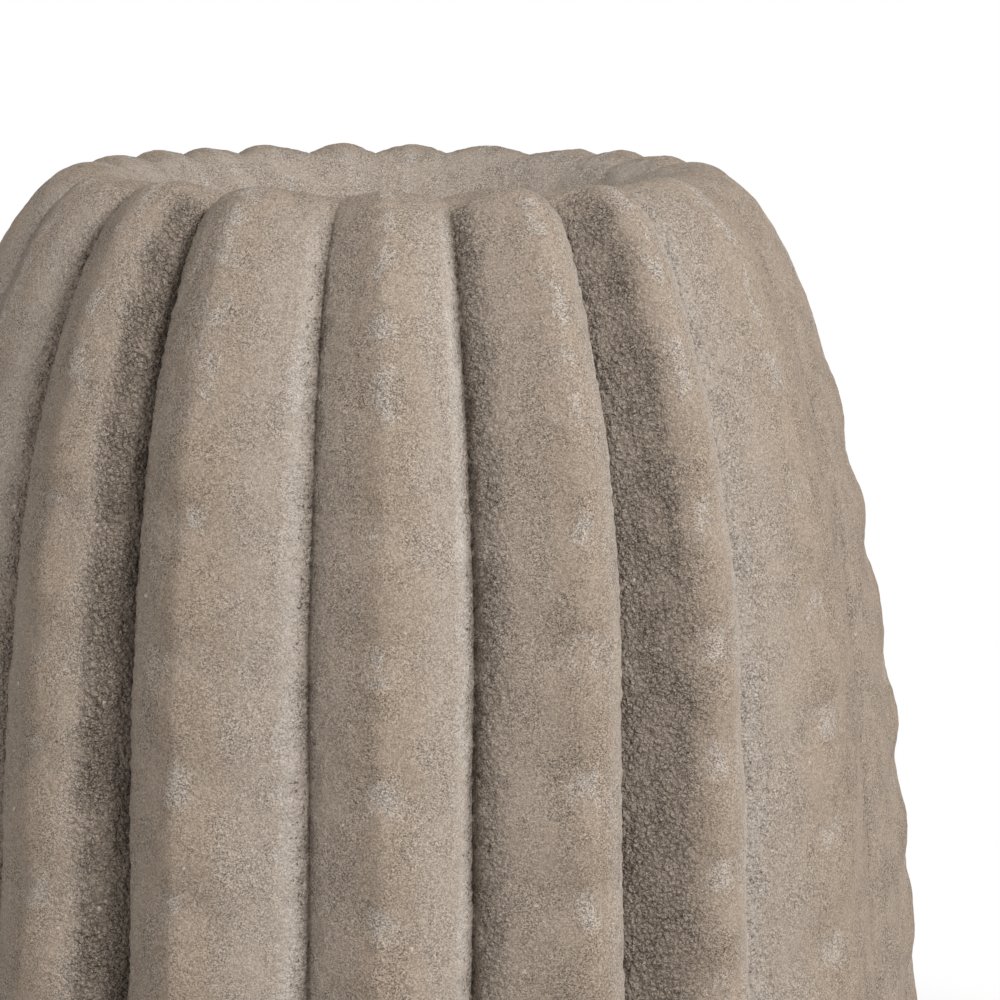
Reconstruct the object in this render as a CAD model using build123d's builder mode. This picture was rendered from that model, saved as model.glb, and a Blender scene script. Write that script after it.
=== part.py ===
from build123d import *
import math
import os

os.makedirs("parts", exist_ok=True)

# Sizes in millimetres, z up, the vase standing on z = 0
rib_count = 21  # ribs round the wall, one facing -y
rib_facets = 6  # flats that make the round of one rib
groove_depth = 6  # rib crest to groove at the belly, shallower where the ribs narrow
crest_groove = 2.6  # shallower where the ribs roll over the top
throat_groove = 0.8  # what is left of the ribs at the throat
belly_radius = 145  # over the rib crests at the rim of the bowl
foot_radius = 92  # over the rib crests at the foot
mouth_radius = 81  # ring of rib crests along the top of the mouth
throat_radius = 54  # clear round opening
wall = 10  # inside face to groove at the belly
floor_thickness = 14
floor_corner = 20  # slope where the floor meets the wall
bowl_height = 138  # pressed bowl, up to the widest line
bowl_bands = 5  # straight bands that make the curve of the bowl
coil_count = 8
coil_height = 27
mouth_height = 43  # last coil, rolled over into the mouth
crest_wall = 17  # clay under the top of the mouth
roof_width = 8  # flat under the crest, inside the rolled mouth
lip_wall = 12  # clay behind the throat
lip_drop = 38  # top of the mouth to the lower end of the throat
funnel_drop = 25  # top of the mouth to the start of the throat
shoulder_run = 1.7  # how late the wall starts to lean in
shoulder_turn = 0.57  # how tightly it turns at the top
shoulder_round = 1.35  # fullness of the rolled shoulder
pad_count = 4
pad_side = 22  # square felt pads
pad_thickness = 3
pad_inset = 10  # foot edge to pad corner

pitch = 360 / rib_count
half_pitch = math.radians(pitch / 2)
rim_z = pad_thickness + bowl_height
joint_z = rim_z + coil_count * coil_height
top_z = joint_z + mouth_height
floor_z = pad_thickness + floor_thickness


def crest_radius(z):
    # Outline of the wall over the rib crests
    if z <= rim_z:
        down = (rim_z - z) / bowl_height
        return belly_radius - (belly_radius - foot_radius) * down**2
    up = (z - rim_z) / (top_z - rim_z)
    lean = (1 - up**shoulder_run) ** shoulder_turn
    return mouth_radius + (belly_radius - mouth_radius) * lean


def rib_depth(radius):
    # Narrower ribs are shallower in the same measure
    return groove_depth * radius / belly_radius


def inner_radius(z):
    return crest_radius(z) - rib_depth(crest_radius(z)) - wall


def rib_points(radius, deep, out=1, up=0, z=0):
    # Facet corners of every rib, on arcs that tilt from level (out) to upright (up)
    side = (radius - deep * out) * math.tan(half_pitch)
    arc_radius = (side**2 + deep**2) / (2 * deep)
    spread = 2 * math.atan(deep / side)
    points = []
    for n in range(rib_count):
        for step in range(rib_facets):
            turn = spread * (2 * step / rib_facets - 1)
            drop = arc_radius * (1 - math.cos(turn))
            across = arc_radius * math.sin(turn)
            corner = Vector(radius - drop * out, across, z - drop * up)
            points.append(corner.rotate(Axis.Z, n * pitch - 90))
    return points


def ribbed_outline(z):
    crest = crest_radius(z)
    with BuildSketch(Plane.XY.offset(z)) as outline:
        with BuildLine():
            Polyline(*rib_points(crest, rib_depth(crest)), close=True)
        make_face()
    return outline.sketch


def pinched_outline(radius, z):
    # Inside the clay, one flat per rib where a thumb backed the groove
    with BuildSketch(Plane.XY.offset(z)) as outline:
        RegularPolygon(radius, rib_count, rotation=-90)
    return outline.sketch


# Felt pads under the foot
pad_circle = foot_radius - rib_depth(foot_radius) - pad_inset - pad_side / 2
for n in range(pad_count):
    with BuildPart() as felt_pad:
        with PolarLocations(pad_circle, 1, start_angle=45 + n * 360 / pad_count):
            Box(pad_side, pad_side, pad_thickness, align=(Align.CENTER, Align.CENTER, Align.MIN))
    felt_pad.part.label = f"felt_pad_{n + 1}"
    export_step(felt_pad.part, f"parts/felt_pad_{n + 1}.step")

# Bowl pressed from one slab: floor and lower wall up to the widest line
with BuildPart() as pressed_bowl:
    for n in range(bowl_bands + 1):
        add(ribbed_outline(pad_thickness + n * bowl_height / bowl_bands))
    loft(ruled=True)
    knee_z = floor_z + floor_corner
    middle_z = (knee_z + rim_z) / 2
    add(pinched_outline(inner_radius(floor_z) - floor_corner / 2, floor_z))
    for z in (knee_z, middle_z, rim_z):
        add(pinched_outline(inner_radius(z), z))
    loft(ruled=True, mode=Mode.SUBTRACT)
pressed_bowl.part.label = "pressed_bowl"
export_step(pressed_bowl.part, "parts/pressed_bowl.step")

# Rolled coils, each luted flat on the one below
for n in range(coil_count):
    low = rim_z + n * coil_height
    high = low + coil_height
    with BuildPart() as wall_coil:
        add(ribbed_outline(low))
        add(ribbed_outline(high))
        loft(ruled=True)
        add(pinched_outline(inner_radius(low), low))
        add(pinched_outline(inner_radius(high), high))
        loft(ruled=True, mode=Mode.SUBTRACT)
    wall_coil.part.label = f"wall_coil_{n + 1}"
    export_step(wall_coil.part, f"parts/wall_coil_{n + 1}.step")

# Rolled mouth: each rib is carried over the top and dies out in the throat.
# Ribbed rings follow one another from the joint (0) over the crest (90) to the throat (180).
joint_radius = crest_radius(joint_z)
ring_angles = [0, 22, 44, 66, 90, 108, 128, 150, 180]
throat_floor = 3  # clay left under the last ring until the throat is opened


def mouth_ring(angle):
    out = math.cos(math.radians(angle))
    up = math.sin(math.radians(angle))
    if angle < 90:
        r = mouth_radius + (joint_radius - mouth_radius) * out**shoulder_round
        z = joint_z + mouth_height * up**shoulder_round
        deep = rib_depth(joint_radius) * out + crest_groove * (1 - out)
    else:
        funnel_width = (mouth_radius - throat_radius) / math.sin(math.radians(60))
        r = mouth_radius + funnel_width * out
        z = max(top_z - 2 * funnel_drop * (1 - up), joint_z + throat_floor)
        deep = crest_groove + (throat_groove - crest_groove) * (angle - 90) / 90
    with BuildLine() as ring:
        Polyline(*rib_points(r, deep, out, up, z), close=True)
    return ring.wire()


# Hollow under the rolled mouth, between the shoulder and the turned-in lip
lip_z = top_z - lip_drop
roof_z = top_z - crest_wall
with BuildPart() as mouth_hollow:
    add(pinched_outline(inner_radius(joint_z), joint_z))
    add(pinched_outline(mouth_radius + roof_width / 2, roof_z))
    loft(ruled=True)
    add(pinched_outline(throat_radius + lip_wall, lip_z))
    add(pinched_outline(mouth_radius - roof_width / 2, roof_z))
    loft(ruled=True, mode=Mode.SUBTRACT)

with BuildPart() as rolled_mouth:
    add(Solid.make_loft([mouth_ring(angle) for angle in ring_angles], ruled=True))
    add(mouth_hollow.part, mode=Mode.SUBTRACT)
    with BuildSketch(Plane.XY.offset(joint_z)):
        Circle(throat_radius)
    extrude(amount=2 * mouth_height, mode=Mode.SUBTRACT)
rolled_mouth.part.label = "rolled_mouth"
export_step(rolled_mouth.part, "parts/rolled_mouth.step")
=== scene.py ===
import math
from collections import namedtuple

import bmesh
import bpy
import numpy as np
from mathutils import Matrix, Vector


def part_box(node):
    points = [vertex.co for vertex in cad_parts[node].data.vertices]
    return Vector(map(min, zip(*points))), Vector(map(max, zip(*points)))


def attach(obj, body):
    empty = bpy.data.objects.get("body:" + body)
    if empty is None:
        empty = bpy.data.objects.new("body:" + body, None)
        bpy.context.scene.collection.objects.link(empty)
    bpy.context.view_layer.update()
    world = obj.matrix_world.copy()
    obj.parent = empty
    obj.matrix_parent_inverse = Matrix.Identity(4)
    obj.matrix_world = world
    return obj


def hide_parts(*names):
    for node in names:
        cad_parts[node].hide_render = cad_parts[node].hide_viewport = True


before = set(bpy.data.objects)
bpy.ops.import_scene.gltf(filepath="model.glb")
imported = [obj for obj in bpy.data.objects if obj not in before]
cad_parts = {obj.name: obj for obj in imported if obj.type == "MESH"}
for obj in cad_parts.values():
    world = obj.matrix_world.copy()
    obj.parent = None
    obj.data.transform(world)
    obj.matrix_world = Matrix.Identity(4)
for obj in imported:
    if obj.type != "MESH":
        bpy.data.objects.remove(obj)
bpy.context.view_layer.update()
scene = bpy.context.scene
scene.view_settings.view_transform = "Standard"
coilNodes = sorted(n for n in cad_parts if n.startswith("wall_coil"))
padNodes = sorted(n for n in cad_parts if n.startswith("felt_pad"))
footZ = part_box("pressed_bowl")[0].z
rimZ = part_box("pressed_bowl")[1].z
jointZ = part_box("rolled_mouth")[0].z
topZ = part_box("rolled_mouth")[1].z
print("stage: frame loaded,", len(coilNodes), "coils")

vaseForm = {  # metres, over the rib crests
    "bellyRadius": 0.145, "footRadius": 0.092, "mouthRadius": 0.081, "throatRadius": 0.054,
    "shoulderRun": 1.58, "shoulderTurn": 0.52, "shoulderRound": 1.3,  # how late and tightly it turns in
    "ribDepth": 0.0078, "crestRib": 0.0035, "throatRib": 0.0003,  # at the belly, on the top, at the throat
    "ribHold": 0.7, "ribFade": 5,  # how the ribs lose depth up the shoulder and down the funnel
    "funnelTurn": 60, "funnelDrop": 0.025,  # degrees past the top, and metres down to the throat
    "wall": 0.016, "wallTaper": 0.1, "bedWidth": 0.012,
}


def crestRadius(z):
    belly = vaseForm["bellyRadius"]
    if z <= rimZ:
        down = (rimZ - z) / (rimZ - footZ)
        return belly - (belly - vaseForm["footRadius"]) * down ** 2
    up = min((z - rimZ) / (topZ - rimZ), 1)
    lean = (1 - up ** vaseForm["shoulderRun"]) ** vaseForm["shoulderTurn"]
    return vaseForm["mouthRadius"] + (belly - vaseForm["mouthRadius"]) * lean


def innerRadius(z):
    crest = crestRadius(z)
    taper = vaseForm["wallTaper"]
    return crest - vaseForm["wall"] * (1 - taper + taper * crest / vaseForm["bellyRadius"])


# A row of the clay is its radius, height, outward and upward share of the rib, and share of the rib depth
def mouthRow(angle):  # from the joint (0) over the top (90) to the throat
    out, up = math.cos(math.radians(angle)), math.sin(math.radians(angle))
    crestShare = vaseForm["crestRib"] / vaseForm["ribDepth"]
    if angle < 90:
        z = jointZ + (topZ - jointZ) * up ** vaseForm["shoulderRound"]
        hold = max(out, 0) ** vaseForm["ribHold"]
        jointShare = crestRadius(jointZ) / vaseForm["bellyRadius"]
        return crestRadius(z), z, out, up, jointShare * hold + crestShare * (1 - hold)
    ring, funnelTurn = vaseForm["mouthRadius"], vaseForm["funnelTurn"]
    r = ring + (ring - vaseForm["throatRadius"]) / math.sin(math.radians(funnelTurn)) * out
    z = topZ - vaseForm["funnelDrop"] * (1 - up) / (1 - math.cos(math.radians(funnelTurn)))
    fade = (angle - 90) / funnelTurn
    throatShare = vaseForm["throatRib"] / vaseForm["ribDepth"]
    return r, z, out, up, crestShare * (1 - fade) ** vaseForm["ribFade"] + throatShare * fade


def evenRun(points, count):  # the same run of rows, evenly spaced
    points = np.array(points, float)
    steps = np.r_[0, np.cumsum(np.hypot(*np.diff(points[:, :2], axis=0).T))]
    want = np.linspace(0, steps[-1], count)
    return np.stack([np.interp(want, steps, column) for column in points.T], 1)


def outerWall(low, high, count):
    heights = np.linspace(low, high, ribMesh["samples"] * count)
    rows = [(crestRadius(z), z, 1.0, 0.0, crestRadius(z) / vaseForm["bellyRadius"]) for z in heights]
    return evenRun(rows, count)


def plainRun(corners, count):  # inside or underside, without ribs
    return evenRun([(r, z, 1.0, 0.0, 0.0) for r, z in corners], count)


def bedRow(z):  # one row on a flat joint, in from the grooves
    return np.array([(crestRadius(z) - vaseForm["bedWidth"], z, 1.0, 0.0, 0.0)])


# turn is in degrees from the front towards the right, depth a share of the rib depth. shade says how dark
# the crease is, as painted shade, and scales its depth: 0 is a faint groove with dust and painted highlight
# on both sides, below 0 one without either. Fullness (1 or more), steep share and torn share belong to the
# clay before and after the groove. crest is where the next rib is highest, as a share of its width.
Groove = namedtuple("Groove", "turn depth shade fullBefore steepBefore tornBefore "
                              "fullAfter steepAfter tornAfter crest")
grooves = [
    Groove(-42.8, 1.00, 0.35, 1.8, 0.20, 0.30, 1.5, 0.20, 0.20, 0.46),  # the ones in the photograph
    Groove(-26.8, 1.45, 0.66, 1.7, 0.20, 0.80, 1.25, 0.40, 0.20, 0.37),
    Groove(-7.7, 1.08, 0.60, 1.2, 0.25, 0.10, 1.0, 0.18, 0.10, 0.45),
    Groove(8.1, 1.20, 0.58, 1.8, 0.30, 0.08, 1.0, 0.36, 0.32, 0.70),
    Groove(23.6, 1.25, 0.50, 1.8, 0.30, 0.15, 1.0, 0.05, 1.15, 0.74),
    Groove(37.0, 0.50, 0.00, 1.8, 0.25, 0.05, 1.3, 0.05, 0.45, 0.55),
    Groove(60.0, 0.40, -0.30, 2.0, 0.05, 0.00, 2.0, 0.05, 0.00, 0.57),
    Groove(81.5, 0.90, 0.40, 2.0, 0.25, 0.20, 1.6, 0.25, 0.50, 0.50),  # guessed from here on
    Groove(97.5, 1.10, 0.70, 1.9, 0.30, 0.10, 1.5, 0.35, 0.40, 0.45),
    Groove(112.5, 0.95, 0.50, 1.7, 0.25, 0.30, 1.9, 0.30, 0.20, 0.55),
    Groove(126.7, 1.20, 0.80, 1.6, 0.20, 0.80, 1.5, 0.40, 0.20, 0.40),
    Groove(143.5, 1.00, 0.50, 2.0, 0.35, 0.10, 1.6, 0.20, 0.60, 0.56),
    Groove(164.5, 0.90, 0.40, 1.8, 0.30, 0.20, 1.9, 0.30, 0.20, 0.50),
    Groove(182.0, 1.15, 0.80, 1.6, 0.25, 0.60, 1.4, 0.45, 0.30, 0.42),
    Groove(198.5, 1.00, 0.60, 1.9, 0.30, 0.10, 1.5, 0.25, 0.70, 0.58),
    Groove(216.5, 0.95, 0.40, 1.8, 0.35, 0.20, 1.8, 0.30, 0.20, 0.50),
    Groove(232.0, 1.20, 0.90, 1.6, 0.20, 0.90, 1.4, 0.40, 0.30, 0.40),
    Groove(248.0, 1.00, 0.50, 1.8, 0.30, 0.20, 1.7, 0.30, 0.40, 0.54),
    Groove(264.5, 1.05, 0.60, 1.9, 0.30, 0.10, 1.5, 0.25, 0.70, 0.60),
    Groove(281.4, 0.95, 0.40, 1.8, 0.25, 0.30, 1.8, 0.30, 0.20, 0.48),
    Groove(298.4, 1.10, 0.60, 1.7, 0.30, 0.20, 1.6, 0.30, 0.50, 0.45),
]

ribMesh = {
    "columns": 44, "crowding": 0.34,  # columns of one rib, closer together near its grooves
    "samples": 8,  # points worked out for every row of a wall
    "steepPower": 10,  # how near the groove the steep share of a flank begins
    "leanLimit": 1.6, "crestSoft": 0.3, "coreRadius": 0.02,  # keep the flanks' directions within bounds
}


def ribColumns():  # angle, place across the rib, side, half width and the clay's values of every column
    columns = []
    count = ribMesh["columns"]
    ahead = grooves[1:] + [grooves[0]._replace(turn=grooves[0].turn + 360)]
    for left, right in zip(grooves, ahead):
        width = right.turn - left.turn
        for k in range(count):
            s = 2 * k / count - 1
            p = s * (1 + ribMesh["crowding"] * (1 - s * s))
            if p < 0:
                half = width * left.crest
                clay = (left.depth, left.shade, left.fullAfter, left.steepAfter, left.tornAfter)
            else:
                half = width * (1 - left.crest)
                clay = (right.depth, right.shade, right.fullBefore, right.steepBefore, right.tornBefore)
            angle = math.radians(left.turn + width * left.crest + half * p)
            columns.append((angle, abs(p), math.sin(math.pi * p), math.radians(half)) + clay)
    return np.array(columns).T


handWork = {  # the pot is not quite round and level, and its ribs wander
    "leftSlump": 0.0046, "slumpTurn": -1.75, "slumpReach": 0.75,  # metres, and radians round the pot
    "backLift": 0.0015, "liftTurn": 3.6,
    "slumpFrom": 0.1, "slumpGrowth": 1.5,  # metres above the rim of the bowl, growing to the top
    "ribLean": 7.4, "ribTurn": 0.4,  # degrees per metre, and degrees at the top
    "ribSpread": 0.107, "spreadLow": 0.236, "spreadHigh": 0.352,  # front ribs widen between these heights
}


def wallNormals(outer, rest):  # outward and upward share of the smooth wall's normal
    slope = np.gradient(outer[:, :2], axis=0)
    slope /= np.linalg.norm(slope, axis=1)[:, None]
    return np.vstack([np.stack([slope[:, 1], -slope[:, 0]], 1), np.tile([1.0, 0.0], (len(rest), 1))])


def storeLayer(mesh, label, kind, field, values):
    layer = mesh.attributes.new(label, kind, "POINT")
    layer.data.foreach_set(field, np.ascontiguousarray(values, np.float32).ravel())


def ringMesh(name, outer, rest, sharpRows, capRow=None):
    # outer rows carry the ribs; rest rows go on along beds and inside, back to the first row
    angle, edge, side, half, deep, shade, full, steep, torn = ribColumns()
    rows = np.vstack([outer, rest])
    skin = np.r_[np.ones(len(outer)), np.zeros(len(rest))]
    radius, height, outShare, upShare, depthShare = (rows[:, k:k + 1] for k in range(5))

    # Every column's way round the pot, wandering and spreading with the height
    drift = np.radians(handWork["ribTurn"] - handWork["ribLean"] * (topZ - height.clip(rimZ)))
    low, high = handWork["spreadLow"], handWork["spreadHigh"]
    spread = handWork["ribSpread"] * np.clip((height - low) / (high - low), 0, 1)
    turn = angle + drift + spread * np.sin(angle)
    radial = np.stack([np.sin(turn), -np.cos(turn), 0 * turn], 2)
    across = np.stack([np.cos(turn), np.sin(turn), 0 * turn], 2)
    upward = np.array([0, 0, 1.0])

    # Slumped on the left and lifted at the back, most of all at the top
    above = handWork["slumpFrom"]
    rise = np.clip((height - rimZ - above) / (topZ - rimZ - above), 0, 1) ** handWork["slumpGrowth"]
    fromLeft = np.angle(np.exp(1j * (turn - handWork["slumpTurn"])))
    slump = rise * handWork["leftSlump"] * np.exp(-(fromLeft / handWork["slumpReach"]) ** 2)
    lift = rise * handWork["backLift"] * (0.5 + 0.5 * np.cos(turn - handWork["liftTurn"]))
    place = (radius - slump)[:, :, None] * radial + (height + lift)[:, :, None] * upward

    # The way that the ribs stand out, and the way that their flanks face
    outDir = outShare[:, :, None] * radial + upShare[:, :, None] * upward
    normal = wallNormals(outer, rest)
    smooth = normal[:, None, 0:1] * radial + normal[:, None, 1:2] * upward
    power, soft = ribMesh["steepPower"], ribMesh["crestSoft"]
    lean = (1 - steep) * full * edge ** (full - 1) + steep * power * edge ** (power - 1)
    lean = depthShare * vaseForm["ribDepth"] * deep * lean
    lean = lean / (radius.clip(ribMesh["coreRadius"]) * half)
    lean = np.clip(lean, 0, ribMesh["leanLimit"]) * np.sign(side) * np.abs(side).clip(0, soft) / soft
    faceDir = smooth + lean[:, :, None] * across
    faceDir /= np.linalg.norm(faceDir, axis=2)[:, :, None]

    rowCount, columnCount = len(rows), len(angle)
    index = np.arange(rowCount * columnCount).reshape(rowCount, columnCount)
    after = np.roll(index, -1, axis=0)
    faces = np.stack([index, np.roll(index, -1, 1), np.roll(after, -1, 1), after], 2)
    caps = []
    if capRow is not None:  # a floor is closed here instead of run through
        faces = np.delete(faces, capRow, axis=0)
        caps = [index[capRow].tolist(), index[capRow + 1][::-1].tolist()]
    mesh = bpy.data.meshes.new(name)
    mesh.from_pydata(place.reshape(-1, 3).tolist(), [], faces.reshape(-1, 4).tolist() + caps)

    ends = np.zeros(2 * len(mesh.edges), np.int32)
    mesh.edges.foreach_get("vertices", ends)
    ends = ends.reshape(-1, 2) // columnCount
    sharp = (ends[:, 0] == ends[:, 1]) & np.isin(ends[:, 0], [r % rowCount for r in sharpRows])
    mesh.attributes.new("sharp_edge", "BOOLEAN", "EDGE").data.foreach_set("value", sharp)

    columnLayers = {"ribEdge": edge, "ribSide": side, "fullness": full, "grooveDeep": deep,
                    "creaseShade": shade, "steepShare": steep, "torn": torn}
    for label, values in columnLayers.items():
        storeLayer(mesh, label, "FLOAT", "value", np.tile(values, rowCount))
    for label, values in {"skin": skin, "deepness": rows[:, 4]}.items():
        storeLayer(mesh, label, "FLOAT", "value", np.repeat(values, columnCount))
    for label, values in {"outDir": outDir, "faceDir": faceDir, "acrossDir": across}.items():
        storeLayer(mesh, label, "FLOAT_VECTOR", "vector", values)
    return mesh


class Wires:  # short hand for building one node tree
    def __init__(self, tree):
        self.tree = tree

    def node(self, kind, links=(), **settings):
        made = self.tree.nodes.new(kind)
        for key, value in settings.items():
            setattr(made, key, value)
        for socket, value in (links.items() if isinstance(links, dict) else enumerate(links)):
            if value is None:
                continue
            if isinstance(value, bpy.types.NodeSocket):
                self.tree.links.new(value, made.inputs[socket])
            else:
                made.inputs[socket].default_value = value
        return made

    def math(self, operation, a, b=None, c=None):
        return self.node("ShaderNodeMath", (a, b, c), operation=operation).outputs[0]

    def chain(self, operation, first, others):
        for other in others:
            first = self.math(operation, first, other)
        return first

    def plus(self, first, *others):
        return self.chain("ADD", first, others)

    def times(self, first, *others):
        return self.chain("MULTIPLY", first, others)

    def most(self, first, *others):
        return self.chain("MAXIMUM", first, others)

    def minus(self, a, b):
        return self.math("SUBTRACT", a, b)

    def power(self, a, b):
        return self.math("POWER", a, b)

    def fit(self, value, gain, base):  # value * gain + base
        return self.math("MULTIPLY_ADD", value, gain, base)

    def vector(self, operation, a, b=None):
        return self.node("ShaderNodeVectorMath", (a, b), operation=operation).outputs[0]

    def scale(self, vector, amount):
        links = {0: vector, "Scale": amount}
        return self.node("ShaderNodeVectorMath", links, operation="SCALE").outputs[0]

    def ramp(self, value, low, high, toLow=0.0, toHigh=1.0):
        links = {"Value": value, "From Min": low, "From Max": high, "To Min": toLow, "To Max": toHigh}
        return self.node("ShaderNodeMapRange", links, interpolation_type="SMOOTHSTEP").outputs[0]

    def noise(self, place, scale, detail=2.0, roughness=0.5, output="Fac"):
        links = {"Vector": place, "Scale": scale, "Detail": detail, "Roughness": roughness}
        return self.node("ShaderNodeTexNoise", links).outputs[output]

    def swing(self, place, scale, detail=2.0, roughness=0.5):  # noise from about -1 to 1
        return self.fit(self.noise(place, scale, detail, roughness), 2.0, -1.0)

    def cells(self, place, scale):
        return self.node("ShaderNodeTexVoronoi", {"Vector": place, "Scale": scale}).outputs

    def channel(self, colour, number):
        return self.node("ShaderNodeSeparateColor", (colour,)).outputs[number]

    def mix(self, amount, a, b, blend="MIX"):
        made = self.node("ShaderNodeMix", {0: amount, 6: a, 7: b}, data_type="RGBA", blend_type=blend)
        return made.outputs[2]


def groupSocket(tree, label, kind, direction, value=None):
    socket = tree.interface.new_socket(label, in_out=direction, socket_type="NodeSocket" + kind)
    if value is not None:
        socket.default_value = value


clayRelief = {  # metres, handed to the ribbed clay tree
    "Rib Depth": vaseForm["ribDepth"], "Crease": 0.0008,
    "Swell": 0.0020, "Swell Pitch": (jointZ - rimZ) / len(coilNodes), "Swell Start": rimZ,
    "Swell Low": rimZ - 0.02, "Swell High": jointZ + 0.012,
    "Hand Lumps": 0.0013, "Side Drift": 0.0013, "Small Lumps": 0.0006,
    "Coarse Sand": 0.00045, "Groove Tears": 0.0009, "Finger Marks": 0.0012,
}
reliefNoise = {  # scale, detail and, where it isn't the usual one, roughness
    "wander": (16.0, 1.0), "swellPatch": (22.0, 1.0), "handLumps": (26.0, 1.5), "smallLumps": (120.0, 2.0),
    "sideDrift": (15.0, 1.0), "looseClay": (110.0, 3.0, 0.65), "coarseSand": (480.0, 2.5, 0.65),
    "grooveTears": (520.0, 3.0, 0.7), "fingerMarks": (42.0, 1.0),
}
reliefShape = {
    "roundRib": 2.0, "creasePower": 14.0,
    "jointWander": 0.006, "lowFade": 0.03, "highFade": 0.02,  # metres
    "bulgeFloor": 0.02, "bulgePower": 0.8, "bulgeMean": 0.66,
    "tornReach": -0.62, "looseEdge": 0.11, "crumbSand": 1.4,
    "driftPlace": (3.1, 1.7, 0.4), "fingerStretch": (1.0, 1.0, 2.4),
}
reliefRange = {  # start, end and, where they aren't 0 and 1, the amounts there
    "ownSection": (0.40, 0.72), "tornRib": (0.36, 0.6), "wiped": (0.24, 0.05),  # of the rib depth
    "swellPatch": (0.3, 0.62, 0.45, 1.15), "swellAcross": (0.15, 0.8, 1.0, 0.05),
    "crumbly": (-0.16, 0.18), "sandAcross": (0.35, 0.60, 0.4, 0.9), "tearsAcross": (0.72, 1.0),
}


def ribbedClayTree():
    tree = bpy.data.node_groups.new("ribbedClay", "GeometryNodeTree")
    wires = Wires(tree)
    groupSocket(tree, "Geometry", "Geometry", "INPUT")
    for label in clayRelief:
        groupSocket(tree, label, "Float", "INPUT")
    for label in ("Outer Clay", "Inner Clay"):
        groupSocket(tree, label, "Material", "INPUT")
    groupSocket(tree, "Geometry", "Geometry", "OUTPUT")
    given = tree.nodes.new("NodeGroupInput").outputs

    def attribute(label, kind="FLOAT"):
        return wires.node("GeometryNodeInputNamedAttribute", (label,), data_type=kind).outputs[0]

    place = wires.node("GeometryNodeInputPosition").outputs[0]
    height = wires.node("ShaderNodeSeparateXYZ", (place,)).outputs[2]
    edge, skin, deepness = attribute("ribEdge"), attribute("skin"), attribute("deepness")

    # Round of the rib down to the groove, steep near the bottom, with a narrow crease; softer over the top
    plainRib = wires.ramp(deepness, *reliefRange["ownSection"])
    roundRib = reliefShape["roundRib"]
    fullness = wires.fit(wires.minus(attribute("fullness"), roundRib), plainRib, roundRib)
    steep = wires.times(attribute("steepShare"), plainRib)
    slope = wires.times(wires.power(edge, fullness), wires.minus(1.0, steep))
    bank = wires.fit(wires.power(edge, float(ribMesh["steepPower"])), steep, slope)
    drop = wires.times(bank, attribute("grooveDeep"))
    grooveShow = wires.times(plainRib, skin)
    crease = wires.times(wires.power(edge, reliefShape["creasePower"]), given["Crease"])
    crease = wires.times(crease, wires.times(grooveShow, wires.most(attribute("creaseShade"), 0.0)))
    sink = wires.times(wires.fit(drop, given["Rib Depth"], crease), deepness, -1.0)

    # Swell of every coil, with the joints wandering a little
    wander = wires.times(wires.swing(place, *reliefNoise["wander"]), reliefShape["jointWander"])
    run = wires.minus(wires.plus(height, wander), given["Swell Start"])
    hump = wires.math("SINE", wires.times(wires.math("DIVIDE", run, given["Swell Pitch"]), math.pi))
    bulge = wires.power(wires.fit(hump, hump, reliefShape["bulgeFloor"]), reliefShape["bulgePower"])
    fullLow = wires.plus(given["Swell Low"], reliefShape["lowFade"])
    fullHigh = wires.minus(given["Swell High"], reliefShape["highFade"])
    nearLow = wires.ramp(height, given["Swell Low"], fullLow)
    nearHigh = wires.ramp(height, given["Swell High"], fullHigh)
    reach = wires.times(nearLow, nearHigh, skin)
    swell = wires.times(wires.minus(bulge, reliefShape["bulgeMean"]), given["Swell"], reach)
    patchy = wires.ramp(wires.noise(place, *reliefNoise["swellPatch"]), *reliefRange["swellPatch"])
    swell = wires.times(swell, wires.times(patchy, wires.ramp(edge, *reliefRange["swellAcross"])))

    # Hand-made unevenness outside, finger marks inside
    lumps = wires.times(wires.swing(place, *reliefNoise["handLumps"]), given["Hand Lumps"])
    small = wires.times(wires.swing(place, *reliefNoise["smallLumps"]), given["Small Lumps"])
    lumps = wires.times(wires.plus(lumps, small), skin)
    elsewhere = wires.vector("ADD", place, reliefShape["driftPlace"])
    drift = wires.times(wires.swing(elsewhere, *reliefNoise["sideDrift"]), given["Side Drift"], skin)
    stretched = wires.vector("MULTIPLY", place, reliefShape["fingerStretch"])
    marks = wires.times(wires.swing(stretched, *reliefNoise["fingerMarks"]), given["Finger Marks"])
    marks = wires.times(marks, wires.minus(1.0, skin))

    # Coarse sand, more of it where the clay is torn, and tears along the grooves
    tear = wires.fit(attribute("torn"), reliefShape["tornReach"], 1.0)
    loose = wires.fit(wires.swing(place, *reliefNoise["looseClay"]), reliefShape["looseEdge"], edge)
    crumbly = wires.ramp(wires.minus(loose, tear), *reliefRange["crumbly"])
    crumbly = wires.times(crumbly, wires.ramp(deepness, *reliefRange["tornRib"]))
    flank = wires.fit(crumbly, reliefShape["crumbSand"], wires.ramp(edge, *reliefRange["sandAcross"]))
    sand = wires.times(wires.swing(place, *reliefNoise["coarseSand"]), given["Coarse Sand"], flank)
    torn = wires.times(wires.swing(place, *reliefNoise["grooveTears"]), given["Groove Tears"])
    torn = wires.times(torn, wires.times(wires.ramp(edge, *reliefRange["tearsAcross"]), plainRib))
    rough = wires.times(wires.plus(sand, torn), skin)

    out = wires.plus(wires.plus(sink, swell), wires.plus(lumps, marks))
    outward = wires.scale(attribute("outDir", "FLOAT_VECTOR"), out)
    flanking = wires.scale(attribute("faceDir", "FLOAT_VECTOR"), rough)
    sideways = wires.scale(attribute("acrossDir", "FLOAT_VECTOR"), drift)
    offset = wires.vector("ADD", wires.vector("ADD", outward, flanking), sideways)

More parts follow.
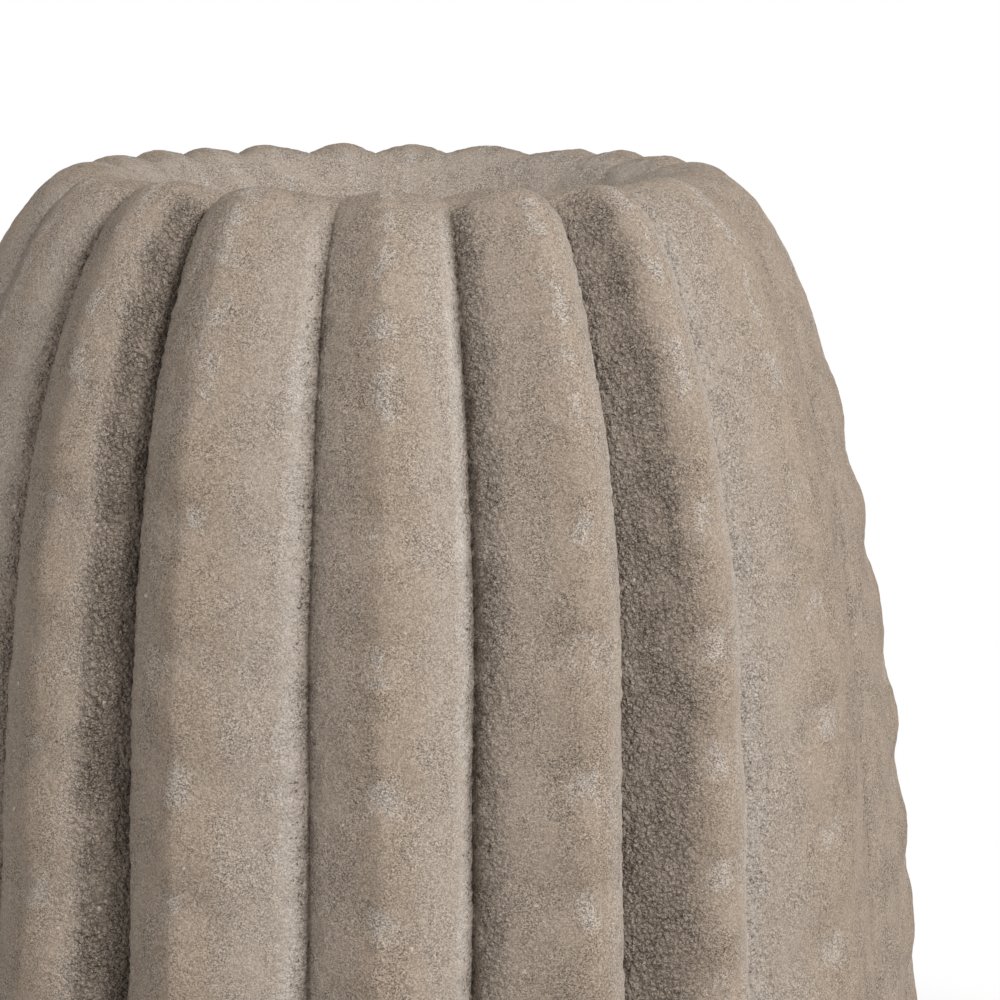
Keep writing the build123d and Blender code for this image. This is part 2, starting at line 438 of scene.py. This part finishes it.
    # Layers that the clay's material reads
    wiped = wires.times(wires.ramp(deepness, *reliefRange["wiped"]), skin)
    layers = {"coilBulge": wires.times(bulge, reach), "crumbly": wires.times(crumbly, skin),
              "grooveShow": grooveShow, "wiped": wiped}
    shape = given["Geometry"]
    for label, value in layers.items():
        links = {"Geometry": shape, "Name": label, "Value": value}
        stored = wires.node("GeometryNodeStoreNamedAttribute", links, data_type="FLOAT", domain="POINT")
        shape = stored.outputs[0]
    shape = wires.node("GeometryNodeSetPosition", {"Geometry": shape, "Offset": offset}).outputs[0]
    shape = wires.node("GeometryNodeSetShadeSmooth", {"Geometry": shape}).outputs[0]
    shape = wires.node("GeometryNodeRealizeInstances", {"Geometry": shape}).outputs[0]
    links = {"Geometry": shape, "Material": given["Inner Clay"]}
    shape = wires.node("GeometryNodeSetMaterial", links).outputs[0]
    links = {0: skin, 1: 0.5}
    ribbed = wires.node("FunctionNodeCompare", links, data_type="FLOAT", operation="GREATER_THAN")
    links = {"Geometry": shape, "Selection": ribbed.outputs[0], "Material": given["Outer Clay"]}
    shape = wires.node("GeometryNodeSetMaterial", links).outputs[0]
    wires.node("NodeGroupOutput", (shape,))
    return tree


def startMaterial(name):
    material = bpy.data.materials.new(name)
    material.use_nodes = True
    material.node_tree.nodes.clear()
    return material, Wires(material.node_tree)


def placeGroup(wires, tree, values):
    made = wires.node("ShaderNodeGroup", node_tree=tree)
    for label, value in values.items():
        made.inputs[label].default_value = value
    return made.outputs


def closeMaterial(wires, colour, height, bump, distance, roughness, gloss=0.16):
    bent = wires.node("ShaderNodeBump", {"Strength": bump, "Distance": distance, "Height": height})
    links = {"Base Color": colour, "Roughness": roughness, "Normal": bent.outputs[0],
             "Specular IOR Level": gloss}
    shader = wires.node("ShaderNodeBsdfPrincipled", links)
    wires.node("ShaderNodeOutputMaterial", (shader.outputs[0],))


outerSand = {"Grain Scale": 4300.0, "Crumb Scale": 900.0, "Grit Share": 0.014, "Pit Share": 0.41}
innerSand = {"Grain Scale": 2400.0, "Crumb Scale": 600.0, "Grit Share": 0.01, "Pit Share": 0.36}
sandForm = {
    "softScale": 0.55, "gritScale": 0.5, "pitScale": 1.3,  # of the grain scale, then of the crumb scale
    "toneOfCells": 0.6, "toneOfSoft": (0.8, -0.2), "crumbRound": -0.9,
    "stray": 0.0016, "gritEdge": (0.24, 0.14), "pitEdge": 0.05,
}


def sandGrainGroup():  # crisp grains, crumbs, clods, white grit and pits of coarse sandy clay
    tree = bpy.data.node_groups.new("sandGrain", "ShaderNodeTree")
    for label, value in outerSand.items():
        groupSocket(tree, label, "Float", "INPUT", value)
    for label in ("Grain", "Crumbs", "Clods", "Tone", "Grit", "Pits"):
        groupSocket(tree, label, "Float", "OUTPUT")
    wires = Wires(tree)
    given = tree.nodes.new("NodeGroupInput").outputs
    crumbScale = given["Crumb Scale"]
    place = wires.node("ShaderNodeTexCoord").outputs["Object"]
    pick = wires.channel(wires.cells(place, given["Grain Scale"])["Color"], 0)
    soft = wires.noise(place, wires.times(given["Grain Scale"], sandForm["softScale"]), 3.0, 0.7)
    tone = wires.fit(pick, sandForm["toneOfCells"], wires.fit(soft, *sandForm["toneOfSoft"]))
    stray = wires.vector("SUBTRACT", wires.noise(place, crumbScale, 2.0, 0.6, "Color"), (0.5, 0.5, 0.5))
    warped = wires.vector("ADD", place, wires.scale(stray, sandForm["stray"]))
    lumps = wires.cells(warped, crumbScale)["Distance"]
    crumbs = wires.fit(lumps, sandForm["crumbRound"], soft)
    clods = wires.times(lumps, -1.0)
    spots = wires.cells(warped, wires.times(crumbScale, sandForm["gritScale"]))
    chosen = wires.math("LESS_THAN", wires.channel(spots["Color"], 1), given["Grit Share"])
    grit = wires.times(chosen, wires.ramp(spots["Distance"], *sandForm["gritEdge"]))
    holes = wires.noise(place, wires.times(crumbScale, sandForm["pitScale"]), 3.0, 0.7)
    pits = wires.ramp(holes, given["Pit Share"], wires.minus(given["Pit Share"], sandForm["pitEdge"]))
    wires.node("NodeGroupOutput", (soft, crumbs, clods, tone, grit, pits))
    return tree


outerVeil = {"Cloud Scale": 34.0, "Streak Scale": 150.0}
innerVeil = {"Cloud Scale": 26.0, "Streak Scale": 110.0}
feltVeil = {"Cloud Scale": 320.0, "Streak Scale": 900.0}
veilForm = {"cloudEdge": (0.34, 0.66), "patchEdge": (0.36, 0.66), "streak": (1.0, 1.0, 0.6)}


def clayDustGroup():  # cloudy dust and patches over clay
    tree = bpy.data.node_groups.new("clayDust", "ShaderNodeTree")
    for label, value in outerVeil.items():
        groupSocket(tree, label, "Float", "INPUT", value)
    for label in ("Cloud", "Patch"):
        groupSocket(tree, label, "Float", "OUTPUT")
    wires = Wires(tree)
    given = tree.nodes.new("NodeGroupInput").outputs
    place = wires.node("ShaderNodeTexCoord").outputs["Object"]
    cloud = wires.noise(place, given["Cloud Scale"], 4.0, 0.6)
    cloud = wires.ramp(cloud, *veilForm["cloudEdge"])
    streaked = wires.vector("MULTIPLY", place, veilForm["streak"])
    patch = wires.noise(streaked, given["Streak Scale"], 3.0, 0.6)
    patch = wires.ramp(patch, *veilForm["patchEdge"])
    wires.node("NodeGroupOutput", (cloud, patch))
    return tree


clayLook = {
    "tan": (0.412, 0.329, 0.258, 1), "grey": (0.405, 0.330, 0.265, 1), "inside": (0.300, 0.243, 0.196, 1),
    # dust is also the colour of the painted highlight on the right sides of the ribs
    "dust": (0.600, 0.540, 0.486, 1), "wiped": (0.530, 0.455, 0.388, 1),
    # deep is also the dark of the painted shade in creases, pits, hollows and on the left sides of the ribs
    "deep": (0.124, 0.097, 0.076, 1), "grit": (0.68, 0.61, 0.53, 1),
}
outerWear = {  # ranges as in the relief, pairs of gain and base, and plain amounts
    "ragged": 0.20, "shadeGreyLeft": (-0.02, -0.30, 0.0, 0.18), "greyFlank": (0.25, 0.66),
    "faintGroove": (0.12, 0.0), "cleanGroove": (-0.2, -0.02),
    "crumbDustHighlight": (-0.9, 1.0), "leftDustHighlight": (0.3, 0.3, 0.3, 1), "rightSide": (-0.05, 0.30), "faintDustHighlight": 0.6,
    "dustHighlightSpill": (0.30, 0.85, 0.0, 0.52), "dustHighlightFilm": (0.12, 0.60, 0.0, 0.30),
    "dustHighlightRim": (0.64, 0.90, 0.0, 0.92), "rimStraight": 0.6, "rimRagged": 0.4, "dustHighlightCloud": (0.2, 0.72),
    "wiped": 0.6, "shadeLeft": (-0.05, -0.55, 0.0, 0.20),
    "coilJoint": (0.50, 0.12), "onCrest": (0.36, 0.06), "dabs": (0.40, 0.70, 0.08, 0.56),
    "crumbDark": (0.50, 0.08), "darkPatch": (0.25, 0.85),
    "coarsePatch": 0.60, "coarseCloud": (0.1, 0.60), "coarseDustHighlight": (-0.6, 1.0), "speckle": (0.2, 1.65),
    "hollow": (-0.20, 0.32, -0.5, 0.5), "hollowShadow": (0.34, 0.08), "hollowLeast": 0.08,
    "fray": 0.20, "frayMiddle": 0.1, "crease": (0.93, 1.0, 0.0, 0.80),
    "nearGroove": (0.78, 0.95), "inShadow": (0.0, 0.6),
    "groovePits": 0.8, "crumbPits": 0.60, "coarsePits": 0.22, "grit": 0.85,
    "clodHeight": (1.3, 0.80), "crumbHeight": (-0.10, 0.20), "grainHeight": 0.26,
}


def ribbedClay(grain, dust):
    material, wires = startMaterial("sandyClay")
    labels = ("ribEdge", "ribSide", "coilBulge", "crumbly", "grooveShow", "creaseShade", "wiped")
    found = {label: wires.node("ShaderNodeAttribute", attribute_name=label) for label in labels}
    read = {label: made.outputs["Fac"] for label, made in found.items()}
    edge, side, crumbly = read["ribEdge"], read["ribSide"], read["crumbly"]
    sand = placeGroup(wires, grain, outerSand)
    veil = placeGroup(wires, dust, outerVeil)
    wear = outerWear

    # Tan crests and grey flanks; the grey reaches nearer the crest on the left side of a rib as painted
    # shade, the side away from the key light
    ragged = wires.fit(wires.minus(veil["Patch"], 0.5), wear["ragged"], edge)
    # painted shadow of each groove, set by how dark its crease is
    shadow = wires.times(read["grooveShow"], wires.most(read["creaseShade"], 0.0))
    flank = wires.ramp(wires.plus(ragged, wires.ramp(side, *wear["shadeGreyLeft"])), *wear["greyFlank"])
    colour = wires.mix(flank, clayLook["tan"], clayLook["grey"])

    # Pale dust and painted highlight on the right side of a rib, which faces the key light, and on both
    # sides of a faint groove; it falls through crumbs
    faint = wires.ramp(read["creaseShade"], *wear["faintGroove"])
    solid = wires.fit(crumbly, *wear["crumbDustHighlight"])
    lit = wires.mix(wires.ramp(side, *wear["rightSide"]), wear["leftDustHighlight"], solid)
    lit = wires.times(wires.most(lit, wires.times(faint, wear["faintDustHighlight"])), read["grooveShow"])
    rim = wires.fit(edge, wear["rimStraight"], wires.times(ragged, wear["rimRagged"]))
    film = wires.ramp(ragged, *wear["dustHighlightFilm"])
    spill = wires.times(wires.ramp(ragged, *wear["dustHighlightSpill"]), faint)
    dustAndHighlight = wires.most(wires.ramp(rim, *wear["dustHighlightRim"]), film, spill)
    dustAndHighlight = wires.times(dustAndHighlight, wires.fit(veil["Cloud"], *wear["dustHighlightCloud"]))
    dustAndHighlight = wires.times(dustAndHighlight, wires.ramp(read["creaseShade"], *wear["cleanGroove"]), lit)
    colour = wires.mix(dustAndHighlight, colour, clayLook["dust"])
    colour = wires.mix(wires.times(read["wiped"], wear["wiped"]), colour, clayLook["wiped"])

    # Painted shade on the left sides of the ribs, away from the key light, darker torn clay, pale dabs on
    # the crests where coils meet
    leftShade = wires.times(wires.ramp(side, *wear["shadeLeft"]), wires.minus(read["grooveShow"], faint))
    colour = wires.mix(leftShade, colour, clayLook["deep"])
    onCrest = wires.ramp(ragged, *wear["onCrest"])
    joint = wires.times(wires.ramp(read["coilBulge"], *wear["coilJoint"]), onCrest)
    dabs = wires.times(joint, wires.ramp(veil["Patch"], *wear["dabs"]))
    colour = wires.mix(dabs, colour, clayLook["dust"])
    # torn clay darker, partly its own colour and partly painted shade that grows with the groove's painted
    # shadow
    dark = wires.times(crumbly, wires.fit(shadow, *wear["crumbDark"]))
    dark = wires.times(dark, wires.fit(veil["Patch"], *wear["darkPatch"]))
    colour = wires.mix(dark, colour, clayLook["deep"])

    # Sand, coarse in patches where no dust or painted highlight covers it, and painted shade in the hollows
    # between the crumbs, with painted light on their tops
    coarse = wires.fit(veil["Patch"], wear["coarsePatch"], wires.fit(veil["Cloud"], *wear["coarseCloud"]))
    coarse = wires.times(coarse, wires.fit(dustAndHighlight, *wear["coarseDustHighlight"]))
    speckle = wires.times(wires.fit(crumbly, *wear["speckle"]), coarse)
    colour = wires.mix(1.0, colour, wires.fit(wires.minus(sand["Tone"], 0.5), speckle, 1.0), "MULTIPLY")
    hollow = wires.ramp(sand["Crumbs"], *wear["hollow"])
    hollows = wires.fit(crumbly, wires.fit(shadow, *wear["hollowShadow"]), wear["hollowLeast"])
    colour = wires.mix(1.0, colour, wires.fit(hollow, hollows, 1.0), "MULTIPLY")

    # Frayed crease darkened with painted shade, pits and white grit
    frayed = wires.fit(wires.minus(sand["Crumbs"], wear["frayMiddle"]), wear["fray"], edge)
    colour = wires.mix(wires.times(wires.ramp(frayed, *wear["crease"]), shadow), colour, clayLook["deep"])
    # pits are painted dark as shade in small holes, most near the grooves' painted shadow
    nearGroove = wires.times(wires.ramp(edge, *wear["nearGroove"]), wires.ramp(shadow, *wear["inShadow"]))
    pitted = wires.fit(crumbly, wear["crumbPits"], wires.times(coarse, wear["coarsePits"]))
    pitted = wires.plus(wires.times(nearGroove, wear["groovePits"]), pitted)
    colour = wires.mix(wires.times(sand["Pits"], pitted), colour, clayLook["deep"])
    colour = wires.mix(wires.times(sand["Grit"], wear["grit"]), colour, clayLook["grit"])

    # Relief that is finer than the mesh
    clods = wires.times(crumbly, coarse, wires.fit(shadow, *wear["clodHeight"]))
    fine = wires.times(coarse, wires.fit(crumbly, *wear["crumbHeight"]))
    height = wires.fit(sand["Clods"], clods, wires.times(sand["Crumbs"], fine))
    height = wires.fit(sand["Grain"], wires.times(coarse, wear["grainHeight"]), height)
    closeMaterial(wires, colour, height, bump=1.0, distance=0.001, roughness=0.92)
    return material


insideWear = {"speckle": 0.9, "pits": 0.3, "grit": 0.6, "crumbHeight": 0.10, "grainHeight": 0.16}


def insideClay(grain, dust):
    material, wires = startMaterial("wipedClay")
    sand = placeGroup(wires, grain, innerSand)
    veil = placeGroup(wires, dust, innerVeil)
    colour = wires.mix(veil["Cloud"], clayLook["inside"], clayLook["grey"])
    shade = wires.fit(wires.minus(sand["Tone"], 0.5), insideWear["speckle"], 1.0)
    colour = wires.mix(1.0, colour, shade, "MULTIPLY")
    # pits painted dark as shade in small holes
    colour = wires.mix(wires.times(sand["Pits"], insideWear["pits"]), colour, clayLook["deep"])
    colour = wires.mix(wires.times(sand["Grit"], insideWear["grit"]), colour, clayLook["grit"])
    grains = wires.times(sand["Grain"], insideWear["grainHeight"])
    height = wires.fit(sand["Crumbs"], insideWear["crumbHeight"], grains)
    closeMaterial(wires, colour, height, bump=1.0, distance=0.001, roughness=0.9)
    return material


feltLook = {
    "pile": (0.052, 0.046, 0.040, 1), "paleFibre": (0.125, 0.113, 0.100, 1),
    "curlScale": 900.0, "curl": 0.0016, "fibreScale": 2600.0, "paleShare": (0.42, 0.66), "worn": 0.35,
}


def pressedFelt(dust):
    material, wires = startMaterial("pressedFelt")
    veil = placeGroup(wires, dust, feltVeil)
    place = wires.node("ShaderNodeTexCoord").outputs["Object"]
    curl = wires.noise(place, feltLook["curlScale"], 2.0, 0.5, "Color")
    warped = wires.vector("ADD", place, wires.scale(curl, feltLook["curl"]))
    fibre = wires.noise(warped, feltLook["fibreScale"], 3.0, 0.7)
    colour = wires.mix(wires.ramp(fibre, *feltLook["paleShare"]), feltLook["pile"], feltLook["paleFibre"])
    colour = wires.mix(wires.times(veil["Patch"], feltLook["worn"]), colour, feltLook["pile"])
    closeMaterial(wires, colour, fibre, bump=0.7, distance=0.0008, roughness=0.97)
    return material


grain, dust = sandGrainGroup(), clayDustGroup()
outerClay, innerClay, felt = ribbedClay(grain, dust), insideClay(grain, dust), pressedFelt(dust)
clayTree = ribbedClayTree()
print("stage: clay and felt mixed")

workLayers = ("outDir", "faceDir", "acrossDir", "deepness", "fullness", "grooveDeep", "steepShare", "torn")


def shapeClay(name, mesh):
    rough = bpy.data.objects.new(name + "Base", mesh)
    scene.collection.objects.link(rough)
    worked = rough.modifiers.new("ribs", "NODES")
    worked.node_group = clayTree
    sockets = clayTree.interface.items_tree
    given = {item.name: item.identifier for item in sockets if item.in_out == "INPUT"}
    for label, value in clayRelief.items():
        worked[given[label]] = float(value)
    worked[given["Outer Clay"]] = outerClay
    worked[given["Inner Clay"]] = innerClay
    ready = rough.evaluated_get(bpy.context.evaluated_depsgraph_get())
    made = bpy.data.meshes.new_from_object(ready)
    rough.modifiers.clear()
    bpy.data.objects.remove(rough)
    for label in workLayers:
        made.attributes.remove(made.attributes[label])
    piece = bpy.data.objects.new(name, made)
    made.name = name
    scene.collection.objects.link(piece)
    return piece


def settle(piece, node):
    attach(piece, "root")
    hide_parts(node)


coilForm = {"rows": 30, "insideRows": 9}


def wallCoil(number, node):
    low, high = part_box(node)[0].z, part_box(node)[1].z
    outer = outerWall(low, high, coilForm["rows"])
    back = [(innerRadius(z), z) for z in np.linspace(high, low, coilForm["insideRows"])]
    rest = np.vstack([bedRow(high), plainRun(back, coilForm["insideRows"]), bedRow(low)])
    sharpRows = [0, len(outer) - 1, len(outer) + 1, -2]
    mesh = ringMesh(f"coil{number}", outer, rest, sharpRows)
    settle(shapeClay(f"wallCoil{number}", mesh), node)


for number, node in enumerate(coilNodes, 1):
    wallCoil(number, node)
print("stage: coils pressed")

mouthForm = {
    "lipDrop": 0.038, "lipWall": 0.012, "lipRound": 0.002, "funnelGap": 0.001,
    "crestWall": 0.017, "roofWidth": 0.008,
    "rows": 78, "samples": 600, "throatRows": 6, "underRows": 14,
}


def rolledMouth():
    lipZ, roofZ = topZ - mouthForm["lipDrop"], topZ - mouthForm["crestWall"]
    throat, ring, roofHalf = vaseForm["throatRadius"], vaseForm["mouthRadius"], mouthForm["roofWidth"] / 2
    angles = np.linspace(0, 90 + vaseForm["funnelTurn"], mouthForm["samples"])
    overTop = evenRun([mouthRow(angle) for angle in angles], mouthForm["rows"])
    throatTop = topZ - vaseForm["funnelDrop"] - mouthForm["funnelGap"]
    throatRun = plainRun([(throat, throatTop), (throat, lipZ)], mouthForm["throatRows"])
    under = [(throat + mouthForm["lipRound"], lipZ), (throat + mouthForm["lipWall"], lipZ),
             (ring - roofHalf, roofZ), (ring + roofHalf, roofZ), (innerRadius(jointZ), jointZ)]
    rest = np.vstack([throatRun, plainRun(under, mouthForm["underRows"]), bedRow(jointZ)])
    settle(shapeClay("rolledMouth", ringMesh("mouth", overTop, rest, [0, -2])), "rolled_mouth")


rolledMouth()
print("stage: mouth rolled")

bowlForm = {
    "floorThickness": 0.014, "kneeHeight": 0.020, "kneeWidth": 0.010, "floorRise": 0.001,
    "floorRadius": 0.03, "capRadius": 0.004,
    "rows": 62, "wallSteps": 12, "insideRows": 24, "soleRows": 6,
}


def pressedBowl():
    floorZ = footZ + bowlForm["floorThickness"]
    outer = outerWall(footZ, rimZ, bowlForm["rows"])
    heights = np.linspace(rimZ, floorZ + bowlForm["kneeHeight"], bowlForm["wallSteps"])
    inside = [(innerRadius(z), z) for z in heights]
    inside += [(innerRadius(floorZ) - bowlForm["kneeWidth"], floorZ + bowlForm["floorRise"]),
               (bowlForm["floorRadius"], floorZ), (bowlForm["capRadius"], floorZ)]
    sole = [(bowlForm["capRadius"], footZ), (crestRadius(footZ) - vaseForm["bedWidth"], footZ)]
    floorRun = plainRun(inside, bowlForm["insideRows"])
    rest = np.vstack([bedRow(rimZ), floorRun, plainRun(sole, bowlForm["soleRows"])])
    sharpRows = [0, len(outer) - 1, len(outer) + 1]
    mesh = ringMesh("bowl", outer, rest, sharpRows, capRow=len(outer) + len(floorRun))
    settle(shapeClay("pressedBowl", mesh), "pressed_bowl")


pressedBowl()
print("stage: bowl pressed")

padForm = {"corner": 0.0022, "cornerSteps": 5, "softEdge": 0.0004, "edgeSteps": 2, "levelGap": 1e-6}


def feltPad(name, node):
    low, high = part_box(node)
    half = (high.x - low.x) / 2 / math.sqrt(2)  # the pads stand cornerwise in their boxes
    shape = bmesh.new()
    bmesh.ops.create_cube(shape, size=2)
    bmesh.ops.scale(shape, vec=(half, half, (high.z - low.z) / 2), verts=shape.verts)

    def isLevel(edge):
        return abs(edge.verts[0].co.z - edge.verts[1].co.z) < padForm["levelGap"]

    def isRim(edge):
        sides = edge.link_faces
        return isLevel(edge) and len(sides) == 2 and abs(sides[0].normal.z - sides[1].normal.z) > 0.5

    upright = [edge for edge in shape.edges if not isLevel(edge)]
    bmesh.ops.bevel(shape, geom=upright, offset=padForm["corner"], segments=padForm["cornerSteps"],
                    profile=0.5, affect="EDGES")
    rims = [edge for edge in shape.edges if isRim(edge)]
    bmesh.ops.bevel(shape, geom=rims, offset=padForm["softEdge"], segments=padForm["edgeSteps"],
                    profile=0.5, affect="EDGES")
    cornerwise = Vector((1, 0, 0)).rotation_difference(Vector((1, 1, 0))).to_matrix()
    bmesh.ops.rotate(shape, cent=(0, 0, 0), matrix=cornerwise, verts=shape.verts)
    bmesh.ops.translate(shape, vec=(low + high) / 2, verts=shape.verts)
    bmesh.ops.recalc_face_normals(shape, faces=shape.faces)
    mesh = bpy.data.meshes.new(name)
    shape.to_mesh(mesh)
    shape.free()
    mesh.materials.append(felt)
    pad = bpy.data.objects.new(name, mesh)
    scene.collection.objects.link(pad)
    settle(pad, node)


for number, node in enumerate(padNodes, 1):
    feltPad(f"feltPad{number}", node)
print("stage: pads cut")

studio = {
    "aimHeight": 0.27, "world": 0.31,
    "floorColour": (0.84, 0.83, 0.815, 1), "floorRadius": 6.0, "floorSides": 96,
    "floorFade": (0.25, 0.46),  # metres from the vase at which the floor turns into the white background
}
lamps = {  # watts, metres across, degrees from the front towards the right and up, metres away
    "keyLight": {"power": 15.0, "size": 0.40, "turn": 47, "rise": 36, "reach": 1.5},
    "fillLight": {"power": 4.6, "size": 1.0, "turn": -42, "rise": 30, "reach": 1.6},
}
photoView = {"distance": 0.567, "height": 0.436, "tilt": 12.35, "pan": 2.94,
             "lens": 78.4, "sensor": 36.0, "clipStart": 0.02}
white = (1, 1, 1, 1)


def seenRays(wires):  # rays that show the background, and don't light the vase
    path = wires.node("ShaderNodeLightPath").outputs
    bounced = wires.most(path["Is Glossy Ray"], path["Is Transmission Ray"])
    return wires.most(path["Is Camera Ray"], bounced)


def studioFloor():
    material, wires = startMaterial("paleFloor")
    place = wires.node("ShaderNodeTexCoord").outputs["Object"]
    distance = wires.node("ShaderNodeVectorMath", (place,), operation="LENGTH").outputs[1]
    far = wires.times(wires.ramp(distance, *studio["floorFade"]), seenRays(wires))
    cloth = wires.node("ShaderNodeBsdfDiffuse", {"Color": studio["floorColour"]})
    glow = wires.node("ShaderNodeEmission", {"Color": white, "Strength": 1.0})
    both = wires.node("ShaderNodeMixShader", (far, cloth.outputs[0], glow.outputs[0]))
    wires.node("ShaderNodeOutputMaterial", (both.outputs[0],))
    shape = bmesh.new()
    bmesh.ops.create_circle(shape, cap_ends=True, segments=studio["floorSides"],
                            radius=studio["floorRadius"])
    mesh = bpy.data.meshes.new("paleFloor")
    shape.to_mesh(mesh)
    shape.free()
    mesh.materials.append(material)
    floor = bpy.data.objects.new("paleFloor", mesh)
    scene.collection.objects.link(floor)


def areaLight(name, power, size, turn, rise, reach):
    light = bpy.data.lights.new(name, "AREA")
    light.energy = power
    light.size = size
    light.shape = "DISK"
    lamp = bpy.data.objects.new(name, light)
    turn, rise = math.radians(turn), math.radians(rise)
    away = Vector((math.sin(turn) * math.cos(rise), -math.cos(turn) * math.cos(rise), math.sin(rise)))
    lamp.location = Vector((0, 0, studio["aimHeight"])) + away * reach
    lamp.rotation_euler = away.to_track_quat("Z", "Y").to_euler()
    scene.collection.objects.link(lamp)


def whiteStudio():
    world = bpy.data.worlds.new("whiteStudio")
    scene.world = world
    world.use_nodes = True
    world.node_tree.nodes.clear()
    wires = Wires(world.node_tree)
    strength = wires.ramp(seenRays(wires), 0.0, 1.0, studio["world"], 1.0)
    light = wires.node("ShaderNodeBackground", {"Color": white, "Strength": strength})
    wires.node("ShaderNodeOutputWorld", (light.outputs[0],))


def photoCamera():
    view = bpy.data.cameras.new("photoCamera")
    view.lens = photoView["lens"]
    view.sensor_width = photoView["sensor"]
    view.clip_start = photoView["clipStart"]
    camera = bpy.data.objects.new("photoCamera", view)
    camera.location = (0, -photoView["distance"], photoView["height"])
    camera.rotation_euler = (math.radians(90 - photoView["tilt"]), 0, -math.radians(photoView["pan"]))
    scene.collection.objects.link(camera)
    scene.camera = camera


studioFloor()
for name, lamp in lamps.items():
    areaLight(name, **lamp)
whiteStudio()
photoCamera()
print("stage: studio set")
